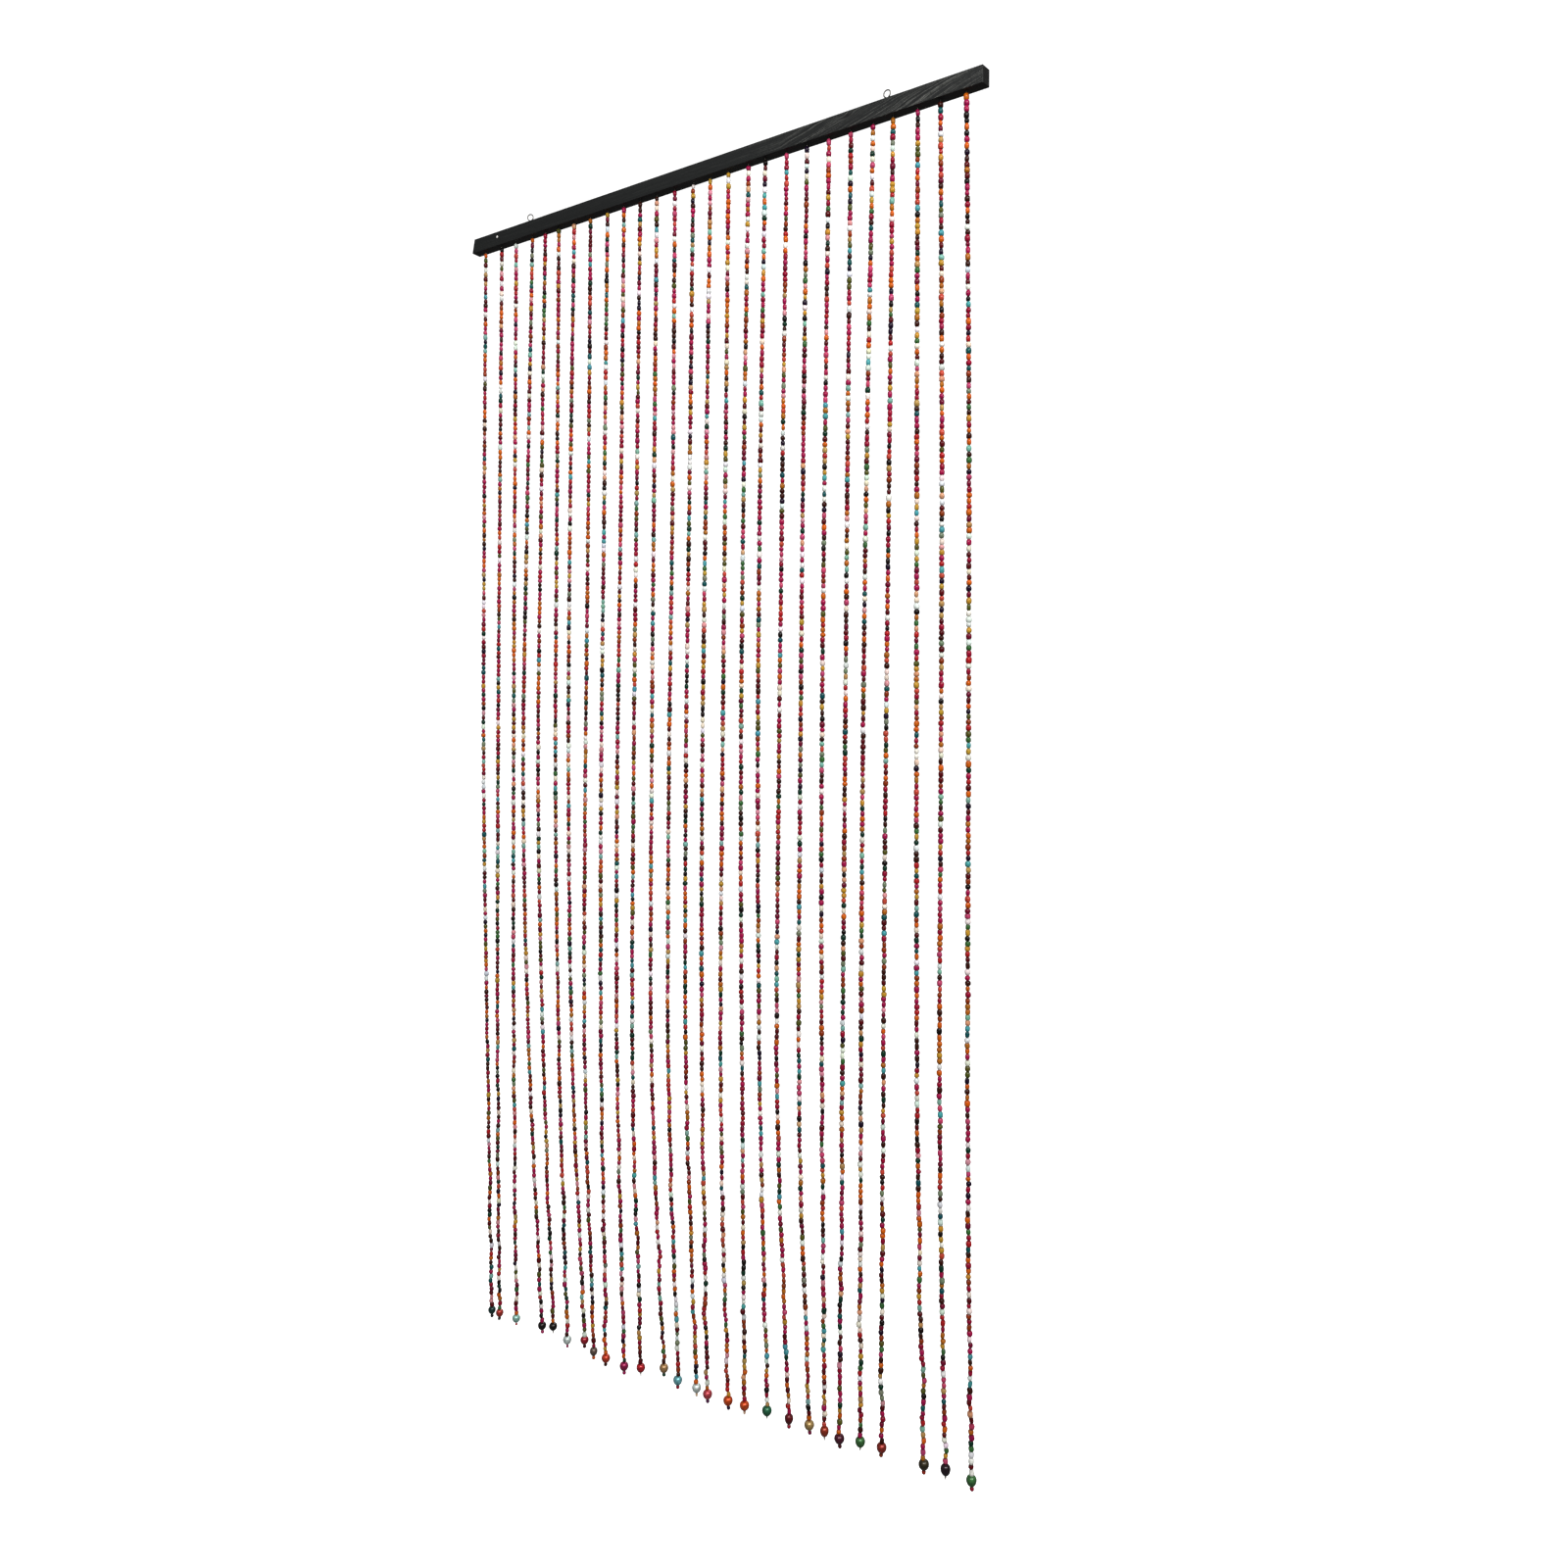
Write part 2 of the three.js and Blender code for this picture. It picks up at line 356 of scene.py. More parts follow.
print("finish helpers:", [helper.__name__ for helper in (new_finish, wire, stretched, ranged)])

# %% [markdown]
# ## The beads' finishes
# On a dyed bead the wood takes the dye unevenly, with fine grain, and is then waxed. Each bead is
# painted darker towards its ends, partly dye soaked into the end grain and partly painted shade
# where the beads touch. The colour itself comes from the `paint` attribute that each bead carries,
# so one material serves them all. Big beads have a thicker, glassier lacquer.

# %% Make the bead finishes
BEAD_GRAIN = (1400, 1400, 260)
BEAD_CLOUDS = (260, 260, 260)
MIDDLE_LIGHT = 1.15
RIM_SHADE = 0.4
BEAD_SPECULAR = 0.12
COAT_ROUGHNESS = 0.12


def bead_finish(name, gloss, shine, grain_depth, coat, mottle_and_reflections):
    """Dyed wood under wax or lacquer. The coat's strength also softens its gloss a little."""
    material, graph, shader = new_finish(name)
    paint = graph.add("ShaderNodeAttribute", {"attribute_name": "paint"}, output="Color")
    rim = graph.add("ShaderNodeAttribute", {"attribute_name": "rim"}, output="Fac")
    grain = stretched(graph, BEAD_GRAIN)
    clouds = stretched(graph, BEAD_CLOUDS, SOFT_DETAIL)
    # Painted shade, in part: the middle is lifted and the ends, where beads touch, are darkened.
    light = (MIDDLE_LIGHT - rim * RIM_SHADE) * (1 - (1 - grain) * grain_depth)
    # Uneven dye mottles each bead. On the lacquered beads the stronger mottling is mostly painted
    # reflection.
    light = light * (1 - mottle_and_reflections * 0.5 + clouds * mottle_and_reflections)
    shade = graph.vector("SCALE", paint, light)
    bump = graph.add(
        "ShaderNodeBump", None, {"Strength": 0.25, "Distance": 0.0004, "Height": grain + clouds},
    )
    wire(
        graph, shader, Base_Color=shade, Roughness=gloss + clouds * 0.18, Normal=bump,
        Metallic=shine, Specular_IOR_Level=BEAD_SPECULAR, Coat_Weight=coat,
        Coat_Roughness=COAT_ROUGHNESS * (1 + coat),
    )
    return material


dyed_bead = bead_finish(
    "dyed_bead", gloss=0.26, shine=0.0, grain_depth=0.35, coat=0.22, mottle_and_reflections=0.9,
)
# The strong mottling here paints in reflections of the room's light and dark patches.
lacquered_bead = bead_finish(
    "lacquered_bead", gloss=0.34, shine=0.6, grain_depth=0.2, coat=0.9, mottle_and_reflections=1.9,
)
print("bead finishes:", [m.name for m in (dyed_bead, lacquered_bead)])

# %% [markdown]
# ## The thread's finish
# The thread is clear nylon that looks a little milky. It shows only at the knots and between the
# lowest beads, so a pale base with some light let through is enough.

# %% Make the thread's finish
THREAD_FIBRE = (3000, 3000, 900)
THREAD_CLEARNESS = 0.25


def thread_finish():
    material, graph, shader = new_finish("thread")
    fibre = stretched(graph, THREAD_FIBRE)
    shade = graph.mix(fibre, linear("8F8A7C"), linear("E9E5DA"))
    wire(
        graph, shader, Base_Color=shade, Roughness=0.3 + fibre * 0.2,
        Transmission_Weight=THREAD_CLEARNESS,
    )
    return material


thread_material = thread_finish()
print("thread finish:", thread_material.name)

# %% [markdown]
# ## The stained wood
# Black stain on a softwood batten leaves the hard grain lines a little paler and shinier. The
# grain runs along the bar and sweeps up across its face in the right-hand third, by a knot. The
# sawn ends are painted near black, partly end grain that soaked up more stain and partly painted
# shade. The underside loses its pale lines, which is painted shade.

# %% Make the stained wood
GRAIN_SWEEP_FROM = 0.18
GRAIN_SWEEP = 0.26
GRAIN_WANDER = 0.012
GRAIN_SCALE = (6, 300, 1300)
LINES_FROM, LINES_FULL = 0.08, 0.36
KNOT_AT = (0.295, 0.0, -0.0175)
KNOT_SPREAD = (1 / 0.018, 0.0, 1 / 0.0065)
KNOT_BEND = 7
FACES_ALONG_AXIS = 0.7


def stained_finish():
    material, graph, shader = new_finish("black_stained_pine")
    place = graph.add("ShaderNodeTexCoord", output="Object")
    along = graph.add("ShaderNodeSeparateXYZ", None, {"Vector": place}, output="X")
    depth, height = along.of("Y"), along.of("Z")
    away = graph.vector("MULTIPLY", graph.vector("SUBTRACT", place, KNOT_AT), KNOT_SPREAD)
    knot = 1 - ranged(graph, graph.vector("LENGTH", away), 0.0, 1.0)
    past = graph.number("MAXIMUM", along - GRAIN_SWEEP_FROM, 0.0)
    wander = stretched(graph, (9, 40, 40), SOFT_DETAIL)
    swept = height - past * GRAIN_SWEEP + (wander - 0.5) * GRAIN_WANDER
    lengthwise, inward, upward = GRAIN_SCALE
    lined = graph.add(
        "ShaderNodeCombineXYZ", None,
        {"X": along * lengthwise, "Y": depth * inward, "Z": swept * upward + knot * KNOT_BEND},
    )
    streaks = graph.add(
        "ShaderNodeTexNoise", None, {"Vector": lined, "Scale": 1.0, "Detail": 4.0, "Roughness": 0.65},
    )
    fibres = stretched(graph, (60, 1800, 1800))
    patches = stretched(graph, (90, 160, 160), SOFT_DETAIL)
    facing = graph.add("ShaderNodeNewGeometry", output="Normal")
    sideways = graph.add("ShaderNodeSeparateXYZ", None, {"Vector": facing}, output="X")
    # Painted shade: the pale lines are taken off the underside, so it reads darker.
    underside_shade = graph.number("LESS_THAN", sideways.of("Z"), -FACES_ALONG_AXIS)
    raised = ranged(graph, streaks, 0.54, 0.66)
    raised = raised * (0.1 + ranged(graph, along, LINES_FROM, LINES_FULL) * 0.9)
    raised = raised * (1 - underside_shade * 0.9) * ranged(graph, patches, 0.2, 0.5)
    shade = graph.mix(raised, linear("1A1C1C"), linear("767772"))
    shade = graph.mix(fibres * 0.25, shade, linear("0C0D0D"))
    shade = graph.mix(ranged(graph, knot, 0.35, 0.75) * 0.8, shade, linear("080808"))
    # The sawn ends are painted near black: partly stain-soaked end grain, partly painted shade.
    end_grain_and_shade = graph.number("GREATER_THAN", graph.number("ABSOLUTE", sideways), FACES_ALONG_AXIS)
    shade = graph.mix(end_grain_and_shade, shade, linear("090908"))
    bump = graph.add(
        "ShaderNodeBump", None, {"Strength": 0.6, "Distance": 0.0005, "Height": raised + fibres * 0.5},
    )
    wire(
        graph, shader, Base_Color=shade, Roughness=0.62 - raised * 0.15, Normal=bump,
        Specular_IOR_Level=0.3,
    )
    return material


stained_wood = stained_finish()
print("wood:", stained_wood.name)

# %% [markdown]
# ## Steel, and the nail head's painted glint
# The eyes are dull plated steel. The nail head is coloured nearly white, a painted highlight for its
# glint. Both have only
# fine scuffs, so one function with two colours and two shines makes them.

# %% Make the metal finishes
SCUFFS = (900, 900, 900)


def metal_finish(name, dark, bright, gloss, shine):
    material, graph, shader = new_finish(name)
    scuffs = stretched(graph, SCUFFS)
    shade = graph.mix(scuffs, linear(dark), linear(bright))
    wire(graph, shader, Base_Color=shade, Roughness=gloss + scuffs * 0.2, Metallic=shine)
    return material


eye_steel = metal_finish("eye_steel", "5C5A56", "908E88", gloss=0.32, shine=0.85)
# Painted highlight: the nail head's near-white colour stands in for its glint.
pale_nail = metal_finish("nail_painted_glint", "EDEAE2", "FFFEFA", gloss=0.2, shine=0.0)
print("metal:", eye_steel.name, pale_nail.name)

# %% [markdown]
# ## The bead shapes
# The small beads are turned in bulk and then tumbled, so no two match. Three simple shapes are
# enough once each bead gets its own size, tilt and dents: a barrel, an oval and a drum. Each is
# one ring of faces round a closed outline with the bore in the middle, a few dozen in all.

# %% Turn the bead shapes
BEAD_SIDES = 9
SHOULDER = 0.3
BORE = 0.13
BORE_MOUTH = 0.46
END_RINGS = (0, 4)


def bead_outline(end_width, shoulder_width):
    """A bead one unit wide and one tall, from its foot round to its bore."""
    end, shoulder = end_width / 2, shoulder_width / 2
    skin = [(end, -0.5), (shoulder, -SHOULDER), (0.5, 0.0), (shoulder, SHOULDER), (end, 0.5)]
    return skin + [(BORE, BORE_MOUTH), (BORE, -BORE_MOUTH)]


def turned(name, outline, sides, crisp_rings=()):
    """A closed outline spun round Z. The edges of the crisp rings are not smoothed over."""
    shape = bmesh.new()
    angles = [2 * math.pi * side / sides for side in range(sides)]
    rings = []
    for radius, height in outline:
        places = [(radius * math.cos(a), radius * math.sin(a), height) for a in angles]
        rings.append([shape.verts.new(place) for place in places])
    for index, ring in enumerate(rings):
        following = rings[(index + 1) % len(rings)]
        for side in range(sides):
            beside = (side + 1) % sides
            shape.faces.new((ring[side], ring[beside], following[beside], following[side]))
    for index in crisp_rings:
        for side in range(sides):
            edge = shape.edges.get((rings[index][side], rings[index][(side + 1) % sides]))
            edge.smooth = False
    bmesh.ops.recalc_face_normals(shape, faces=shape.faces)
    return as_mesh(shape, name)


def with_rim(mesh):
    """Marks how near each point is to the bead's ends."""
    # The finish paints points near the ends darker: partly end-grain dye, partly painted shade.
    rim = mesh.attributes.new("rim", "FLOAT", "POINT")
    for point, value in zip(mesh.vertices, rim.data):
        value.value = min(1.0, abs(2 * point.co.z) ** 3)
    return mesh


# name: how wide the bead is at its ends and at its shoulders
shape_forms = {"barrel": (0.50, 0.91), "oval": (0.40, 0.86), "drum": (0.64, 0.96)}
bead_shapes = {}
for shape_name, widths in shape_forms.items():
    bead_mesh = with_rim(turned(shape_name, bead_outline(*widths), BEAD_SIDES, END_RINGS))
    bead_mesh.materials.append(dyed_bead)
    bead_shapes[shape_name] = linked(shape_name, bead_mesh)
print("faces in a bead:", len(bead_shapes["barrel"].data.polygons))

# %% [markdown]
# ## The line of each strand
# The plain solid of a strand is a thin square bar, so its rearmost corners trace the middle of
# the string. The thread runs on above, up through the bar to its knot, and below, through the
# big bead to the stop bead.

# %% Read the strands' lines
REARMOST = 0.95
BEAD_SINK = 1.3 * MM
IN_KNOT = 2 * MM
IN_STOP = 1 * MM


def string_line(label):
    """The middle of a string of beads, down to a little inside the big bead's bore."""
    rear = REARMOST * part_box(f"strand_{label}")[1].y
    corners = [v.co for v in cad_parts[f"strand_{label}"].data.vertices if v.co.y > rear]
    line = sorted({(round(c.x, 6), 0.0, round(c.z, 6)) for c in corners}, key=lambda p: -p[2])
    return line[:-1] + [(line[-1][0], 0.0, line[-1][2] - BEAD_SINK)]


def thread_line(label):
    """The whole thread: knot, string of beads, big bead, stop bead."""
    low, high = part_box(f"strand_{label}")
    beads = string_line(label)
    bead_low, bead_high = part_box(f"end_bead_{label}")
    foot_x = (bead_low.x + bead_high.x) / 2
    return [(beads[0][0], 0.0, high.z - IN_KNOT)] + beads + [(foot_x, 0.0, low.z + IN_STOP)]


strings = {label: string_line(label) for label in strand_labels}
threads = {label: thread_line(label) for label in strand_labels}
print("points on the first string:", len(strings["01"]))

# %% [markdown]
# ## Where a bead sits on its thread
# Every bead has its own length, and they touch end to end. So the tree draws a random length for
# each bead, adds the lengths up along the string, and puts each bead at its share of the way,
# nought at the top and one at the foot. Near the foot, where less weight pulls on the thread,
# the beads sit looser and the string strays more. All draws come from the strand's seed.

# %% Place the beads
BEAD_LENGTHS = (0.85, 1.15)
TIGHTEST = 0.25
STRAY_SCALE = 16.0
MIDDLE_GREY = (0.5, 0.5, 0.5)


def random_value(graph, low, high, seed, offset, kind="FLOAT"):
    """A number or vector for each bead. The offset keeps the draws apart."""
    return graph.add(
        "FunctionNodeRandomValue", {"data_type": kind},
        {"Min": low, "Max": high, "Seed": seed + offset},
    )


def shares_of_string(graph, curve, given):
    """One point for each bead, how far along it sits, and how long it is."""
    length = graph.add("GeometryNodeCurveLength", None, {"Curve": curve})
    count = graph.number("ROUND", length / given["Bead length"])
    points = graph.add("GeometryNodePoints", None, {"Count": count})
    share = random_value(graph, *BEAD_LENGTHS, given["Seed"], 0)
    before = graph.add("GeometryNodeAccumulateField", None, {"Value": share}, output="Trailing")
    total = before.of("Total")
    return points, (before + share * 0.5) / total, share / total * length


def moved_aside(graph, given, place, way, loose):
    """Each bead's own wobble, and the slow stray of the string near its foot."""
    wobble = random_value(graph, (-1.0, -1.0, 0.0), (1.0, 1.0, 0.0), given["Seed"], 1, "FLOAT_VECTOR")
    wobble = graph.vector("SCALE", wobble, given["Wobble"] * loose)
    stray = graph.add(
        "ShaderNodeTexNoise", None, {"Vector": place, "Scale": STRAY_SCALE, "Detail": 1.0}, "Color",
    )
    stray = graph.vector("SUBTRACT", stray, MIDDLE_GREY)
    sway = given["Sway"] * way ** 4.0 * (1 - way ** 40.0)
    level = graph.add("ShaderNodeCombineXYZ", None, {"X": sway, "Y": sway})
    return graph.vector("ADD", wobble, graph.vector("MULTIPLY", stray, level))


print("bead lengths, as shares of the usual one:", BEAD_LENGTHS)

# %% [markdown]
# ## How a bead is turned, shaped and dyed
# A bead is threaded at any turn about its hole and leans a little. Its width, its flatness and
# which of the three shapes it is are drawn too. The paint is picked on a colour ramp with hard
# steps, each as wide as that paint is common, and shifted a little as dye batches are.

# %% Turn, shape and dye the beads
BEAD_WIDTHS = (0.86, 1.12)
BEAD_FLATNESS = (0.9, 1.05)
TOUCHING = 1.02
HALF_TURN = 3.14
PALEST_BATCH, DEEPEST_BATCH = (1.06, 1.02, 1.02), (0.86, 0.84, 0.82)


def leaning(graph, given, tangent, loose):
    """Along the thread, at any turn about it, and a little askew."""
    upright = graph.add("FunctionNodeAlignRotationToVector", {"axis": "Z"}, {"Vector": tangent})
    tilt = given["Tilt"] * loose
    tilts = graph.add("ShaderNodeCombineXYZ", None, {"X": tilt, "Y": tilt, "Z": 1.0})
    lean = random_value(
        graph, (-1.0, -1.0, -HALF_TURN), (1.0, 1.0, HALF_TURN), given["Seed"], 2, "FLOAT_VECTOR",
    )
    lean = graph.vector("MULTIPLY", lean, tilts)
    turned_by = graph.add("FunctionNodeEulerToRotation", None, {"Euler": lean})
    return graph.add(
        "FunctionNodeRotateRotation", {"rotation_space": "LOCAL"},
        {"Rotation": upright, "Rotate By": turned_by},
    )


def bead_size(graph, given, way, bead_length):
    width = given["Top width"] + (given["Foot width"] - given["Top width"]) * way
    width = width * random_value(graph, *BEAD_WIDTHS, given["Seed"], 3)
    flat = width * random_value(graph, *BEAD_FLATNESS, given["Seed"], 4)
    return graph.add(
        "ShaderNodeCombineXYZ", None, {"X": width, "Y": flat, "Z": bead_length * TOUCHING},
    )


def picked_shapes(graph, given):
    """The three shapes as instances, and which of them each bead takes."""
    shapes = []
    for name in ("Barrel", "Oval", "Drum"):
        shape = graph.add("GeometryNodeObjectInfo", None, {"Object": given[name]}, output="Geometry")
        shapes.append(graph.add("GeometryNodeGeometryToInstance", None, {"Geometry": shape}))
    joined = graph.add("GeometryNodeJoinGeometry", None, {"Geometry": shapes})
    pick = random_value(graph, 0.0, len(shapes) - 0.01, given["Seed"], 5)
    return joined, graph.number("FLOOR", pick)


def dye(graph, given):
    drawn = random_value(graph, 0.0, 1.0, given["Seed"], 6)
    paint = graph.add("ShaderNodeValToRGB", {"stops": paint_stops}, {"Fac": drawn})
    paint.socket.node.color_ramp.interpolation = "CONSTANT"
    batch = random_value(graph, DEEPEST_BATCH, PALEST_BATCH, given["Seed"], 7, "FLOAT_VECTOR")
    return graph.mix(1.0, paint, batch, "MULTIPLY")


print("bead widths, as shares of the usual one:", BEAD_WIDTHS)

# %% [markdown]
# ## The stringing tree
# The tree puts the steps together: it copies a shape onto each point and stores the paint on the
# copy. Then it makes the copies real, dents each one by noise, and gives them all the finish.

# %% Build the stringing tree
DENT_SCALE = 240.0


def beads_on_line(graph, given):
    """The dyed beads, each at its place along the string."""
    curve = graph.add("GeometryNodeMeshToCurve", None, {"Mesh": given["String"]})
    points, way, bead_length = shares_of_string(graph, curve, given)
    place = graph.add(
        "GeometryNodeSampleCurve", {"mode": "FACTOR", "use_all_curves": True},
        {"Curves": curve, "Factor": way}, output="Position",
    )
    loose = TIGHTEST + way ** 5.0 * (1 - TIGHTEST)
    aside = moved_aside(graph, given, place, way, loose)
    placed = graph.add(
        "GeometryNodeSetPosition", None, {"Geometry": points, "Position": place, "Offset": aside},
    )
    shapes, pick = picked_shapes(graph, given)
    beads = graph.add(
        "GeometryNodeInstanceOnPoints", None,
        {"Points": placed, "Instance": shapes, "Pick Instance": True, "Instance Index": pick,
         "Rotation": leaning(graph, given, place.of("Tangent"), loose),
         "Scale": bead_size(graph, given, way, bead_length)},
    )
    return graph.add(
        "GeometryNodeStoreNamedAttribute", {"data_type": "FLOAT_COLOR", "domain": "INSTANCE"},
        {"Geometry": beads, "Name": "paint", "Value": dye(graph, given)},
    )


def stringing_tree():
    graph, given = tree_with("beads on a thread", {
        "String": "Geometry", "Barrel": "Object", "Oval": "Object", "Drum": "Object",
        "Top width": "Float", "Foot width": "Float", "Bead length": "Float", "Wobble": "Float",
        "Sway": "Float", "Tilt": "Float", "Dents": "Float", "Seed": "Int", "Finish": "Material",
    })
    beads = beads_on_line(graph, given)
    beads = graph.add("GeometryNodeRealizeInstances", None, {"Geometry": beads})
    dents = graph.add("ShaderNodeTexNoise", None, {"Scale": DENT_SCALE, "Detail": 1.0}, output="Color")
    dents = graph.vector("SUBTRACT", dents, MIDDLE_GREY)
    dents = graph.vector("SCALE", dents, given["Dents"])
    beads = graph.add("GeometryNodeSetPosition", None, {"Geometry": beads, "Offset": dents})
    return ended(graph, beads, given["Finish"])


stringing = stringing_tree()
print("nodes in the stringing tree:", len(stringing.nodes))

# %% [markdown]
# ## Wire and thread, by Geometry Nodes
# The bare thread and the steel wire are made the same way: a round section is swept along a line.
# `merged` then joins such pieces with the beads, and each face keeps its own material.

# %% Build the sweeping tree
def sweep_tree():
    graph, given = tree_with("wire along a line", {
        "Line": "Geometry", "Width": "Float", "Sides": "Int", "Finish": "Material",
    })
    route = graph.add("GeometryNodeMeshToCurve", None, {"Mesh": given["Line"]})
    ring = graph.add(
        "GeometryNodeCurvePrimitiveCircle", None,
        {"Resolution": given["Sides"], "Radius": given["Width"] * 0.5},
    )
    tube = graph.add(
        "GeometryNodeCurveToMesh", None, {"Curve": route, "Profile Curve": ring, "Fill Caps": True},
    )
    tube = graph.add("GeometryNodeRealizeInstances", None, {"Geometry": tube})
    return ended(graph, tube, given["Finish"])


sweep = sweep_tree()


def merged(name, parts):
    """Several meshes as one. Each face keeps its material."""
    materials = []
    shape = bmesh.new()
    for part in parts:
        materials += [m for m in part.materials if m not in materials]
        places = [materials.index(m) for m in part.materials]
        kept = [places[face.material_index] for face in part.polygons]
        part.polygons.foreach_set("material_index", kept)
        shape.from_mesh(part)
    mesh = as_mesh(shape, name)
    for material in materials:
        mesh.materials.append(material)
    return mesh


print("nodes in the sweeping tree:", len(sweep.nodes))

# %% [markdown]
# ## How each strand ends
# Below its big bead a strand is tied round a small stop bead, which often hangs askew, or into a
# bare knot or loop of clear thread. No rule gives which, so each strand has a row of its own.

# %% List the strands' ends
# label: the big bead's lacquer, the stop's paint, its lean in degrees, and its kind of tie
strand_ends = {
    "01": ("petrol", "171213", 0, "bead"),
    "02": ("coral", "3A3636", -24, "bead"),
    "03": ("mint", "C2242B", 0, "small bead"),
    "04": ("black", "A8185A", 24, "bead"),
    "05": ("black", clear_thread, 0, "knot"),
    "06": ("pale_mint", "A8185A", 4, "slim bead"),
    "07": ("crimson", "4A0D14", 0, "bead"),
    "08": ("grey_brown", "D85C18", 0, "bead"),
    "09": ("vermilion", "3C1611", -20, "bead"),
    "10": ("raspberry", "A8185A", 8, "bead"),
    "11": ("red", clear_thread, 0, "loop"),
    "12": ("tan", "12452F", 0, "bead"),
    "13": ("turquoise", "9E1230", 0, "bead"),
    "14": ("pale_mint", "E6C6A6", 0, "slim bead"),
    "15": ("rose", "5A2350", 6, "bead"),
    "16": ("orange", "2A1535", 22, "bead"),
    "17": ("orange", "E3BFA0", 0, "slim bead"),
    "18": ("emerald", "CDB27C", 24, "loop"),
    "19": ("maroon", "9E1230", 0, "bead"),
    "20": ("gold", "7A1540", 24, "bead"),
    "21": ("rust", clear_thread, 0, "knot"),
    "22": ("plum", "4A0D14", 22, "bead"),
    "23": ("green", clear_thread, -10, "knot"),
    "24": ("brick", "8A3A22", -22, "bead"),
    "25": ("olive", "A03222", 0, "bead"),
    "26": ("aubergine", clear_thread, 8, "knot"),
    "27": ("green", "9E1230", 18, "bead"),
}
stop_sizes = {"bead": (6.6, 6.6), "small bead": (4.6, 4.6), "slim bead": (4.8, 6.4)}
print("ends to tie:", len(strand_ends))

# %% [markdown]
# ## Knots and short cords
# A knot pulled tight is a small lump with the ridges of its turns, and a cut end is a stub of
# cord. Both are a few points made straight in BMesh, Blender's mesh editor for scripts, which is
# less work than a tree for pieces this small.

# %% Helpers for knots and cords
CORD_SIDES = 5
RIDGE = 0.16


def lumpy_ball(shape, centre, width, height, salt):
    """A pulled-tight knot: a ball with the ridges of the turns of thread."""
    made = bmesh.ops.create_uvsphere(shape, u_segments=12, v_segments=8, radius=0.5)
    for vert in made["verts"]:
        ridge = 1 + RIDGE * math.sin(4 * math.atan2(vert.co.y, vert.co.x) + 9 * vert.co.z + salt)
        vert.co = Vector((vert.co.x * width * ridge, vert.co.y * width * ridge, vert.co.z * height))
        vert.co += centre


def bridged(shape, rings):
    """Faces from each ring of points to the next, and over both ends."""
    sides = len(rings[0])
    for first, second in zip(rings, rings[1:]):
        for k in range(sides):
            shape.faces.new((first[k], first[(k + 1) % sides], second[(k + 1) % sides], second[k]))
    shape.faces.new(rings[0][::-1])
    shape.faces.new(rings[-1])


def cord_between(shape, points, width):
    """A short tube of thread through a few points."""
    angles = [2 * math.pi * k / CORD_SIDES for k in range(CORD_SIDES)]
    rings = []
    for index, point in enumerate(points):
        ahead = points[min(index + 1, len(points) - 1)] - points[max(index - 1, 0)]
        across = ahead.orthogonal().normalized() if ahead.length else Vector((1, 0, 0))
        other = ahead.normalized().cross(across)
        rings.append([shape.verts.new(point + (across * math.cos(a) + other * math.sin(a)) * width / 2)
                      for a in angles])
    bridged(shape, rings)


print("sides of a cord:", CORD_SIDES)

# %% [markdown]
# ## The knots and stop beads
# The knot above the bar has two cut ends, one to each side. What hangs below the big bead leans
# by the angle in the strand's row, about the place where the thread leaves the big bead.

# %% Tie the knots and stop beads
CUT_END_WIDTH = 0.7 * MM
TIE_WIDTH = 0.8 * MM


def top_knot(shape, label):
    """The knot on top of the bar."""
    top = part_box(f"strand_{label}")[1].z
    x = threads[label][0][0]
    lumpy_ball(shape, Vector((x, 0, top - 2.1 * MM)), 4 * MM, 3.4 * MM, int(label))
    start = Vector((x, 0, top - IN_KNOT))
    for side in (-1, 1):
        tip = Vector((side * 3.5, 1.5 * side, -0.6)) * MM
        cord_between(shape, [start, start + tip * 0.6, start + tip], CUT_END_WIDTH)


def bare_knot(shape, foot, hang, salt):
    middle = foot + Vector((0, 0, 1 * MM))
    lumpy_ball(shape, middle, 3 * MM, 3 * MM, salt)
    for side in (-1, 1):
        tip = hang @ (Vector((side * 1.1, 0.3 * side, -3)) * MM)
        cord_between(shape, [middle, tip], TIE_WIDTH)


def thread_loop(shape, foot, hang, salt):
    lumpy_ball(shape, foot + Vector((0, 0, 1.4 * MM)), 2.6 * MM, 2.6 * MM, salt)
    bend = [math.radians(90 + 360 * k / 10) for k in range(11)]
    cord_between(shape, [hang @ (Vector((math.cos(a) * 1.9, 0, math.sin(a) * 2.2 - 0.8)) * MM)
                         for a in bend], TIE_WIDTH)


def stop_bead(shape, hang, tie):
    """The small bead's shape again, in the fittings' second material."""
    width, height = stop_sizes[tie]
    stop = bead_shapes["oval"].data.copy()
    stop.transform(hang @ Matrix.Diagonal((width * MM, width * MM, height * MM, 1)))
    stop.polygons.foreach_set("material_index", [1] * len(stop.polygons))
    shape.from_mesh(stop)
    bpy.data.meshes.remove(stop)


def painted(mesh, code):
    """One paint all over a mesh."""
    paint = mesh.attributes.new("paint", "FLOAT_COLOR", "POINT")
    for value in paint.data:
        value.color = linear(code)


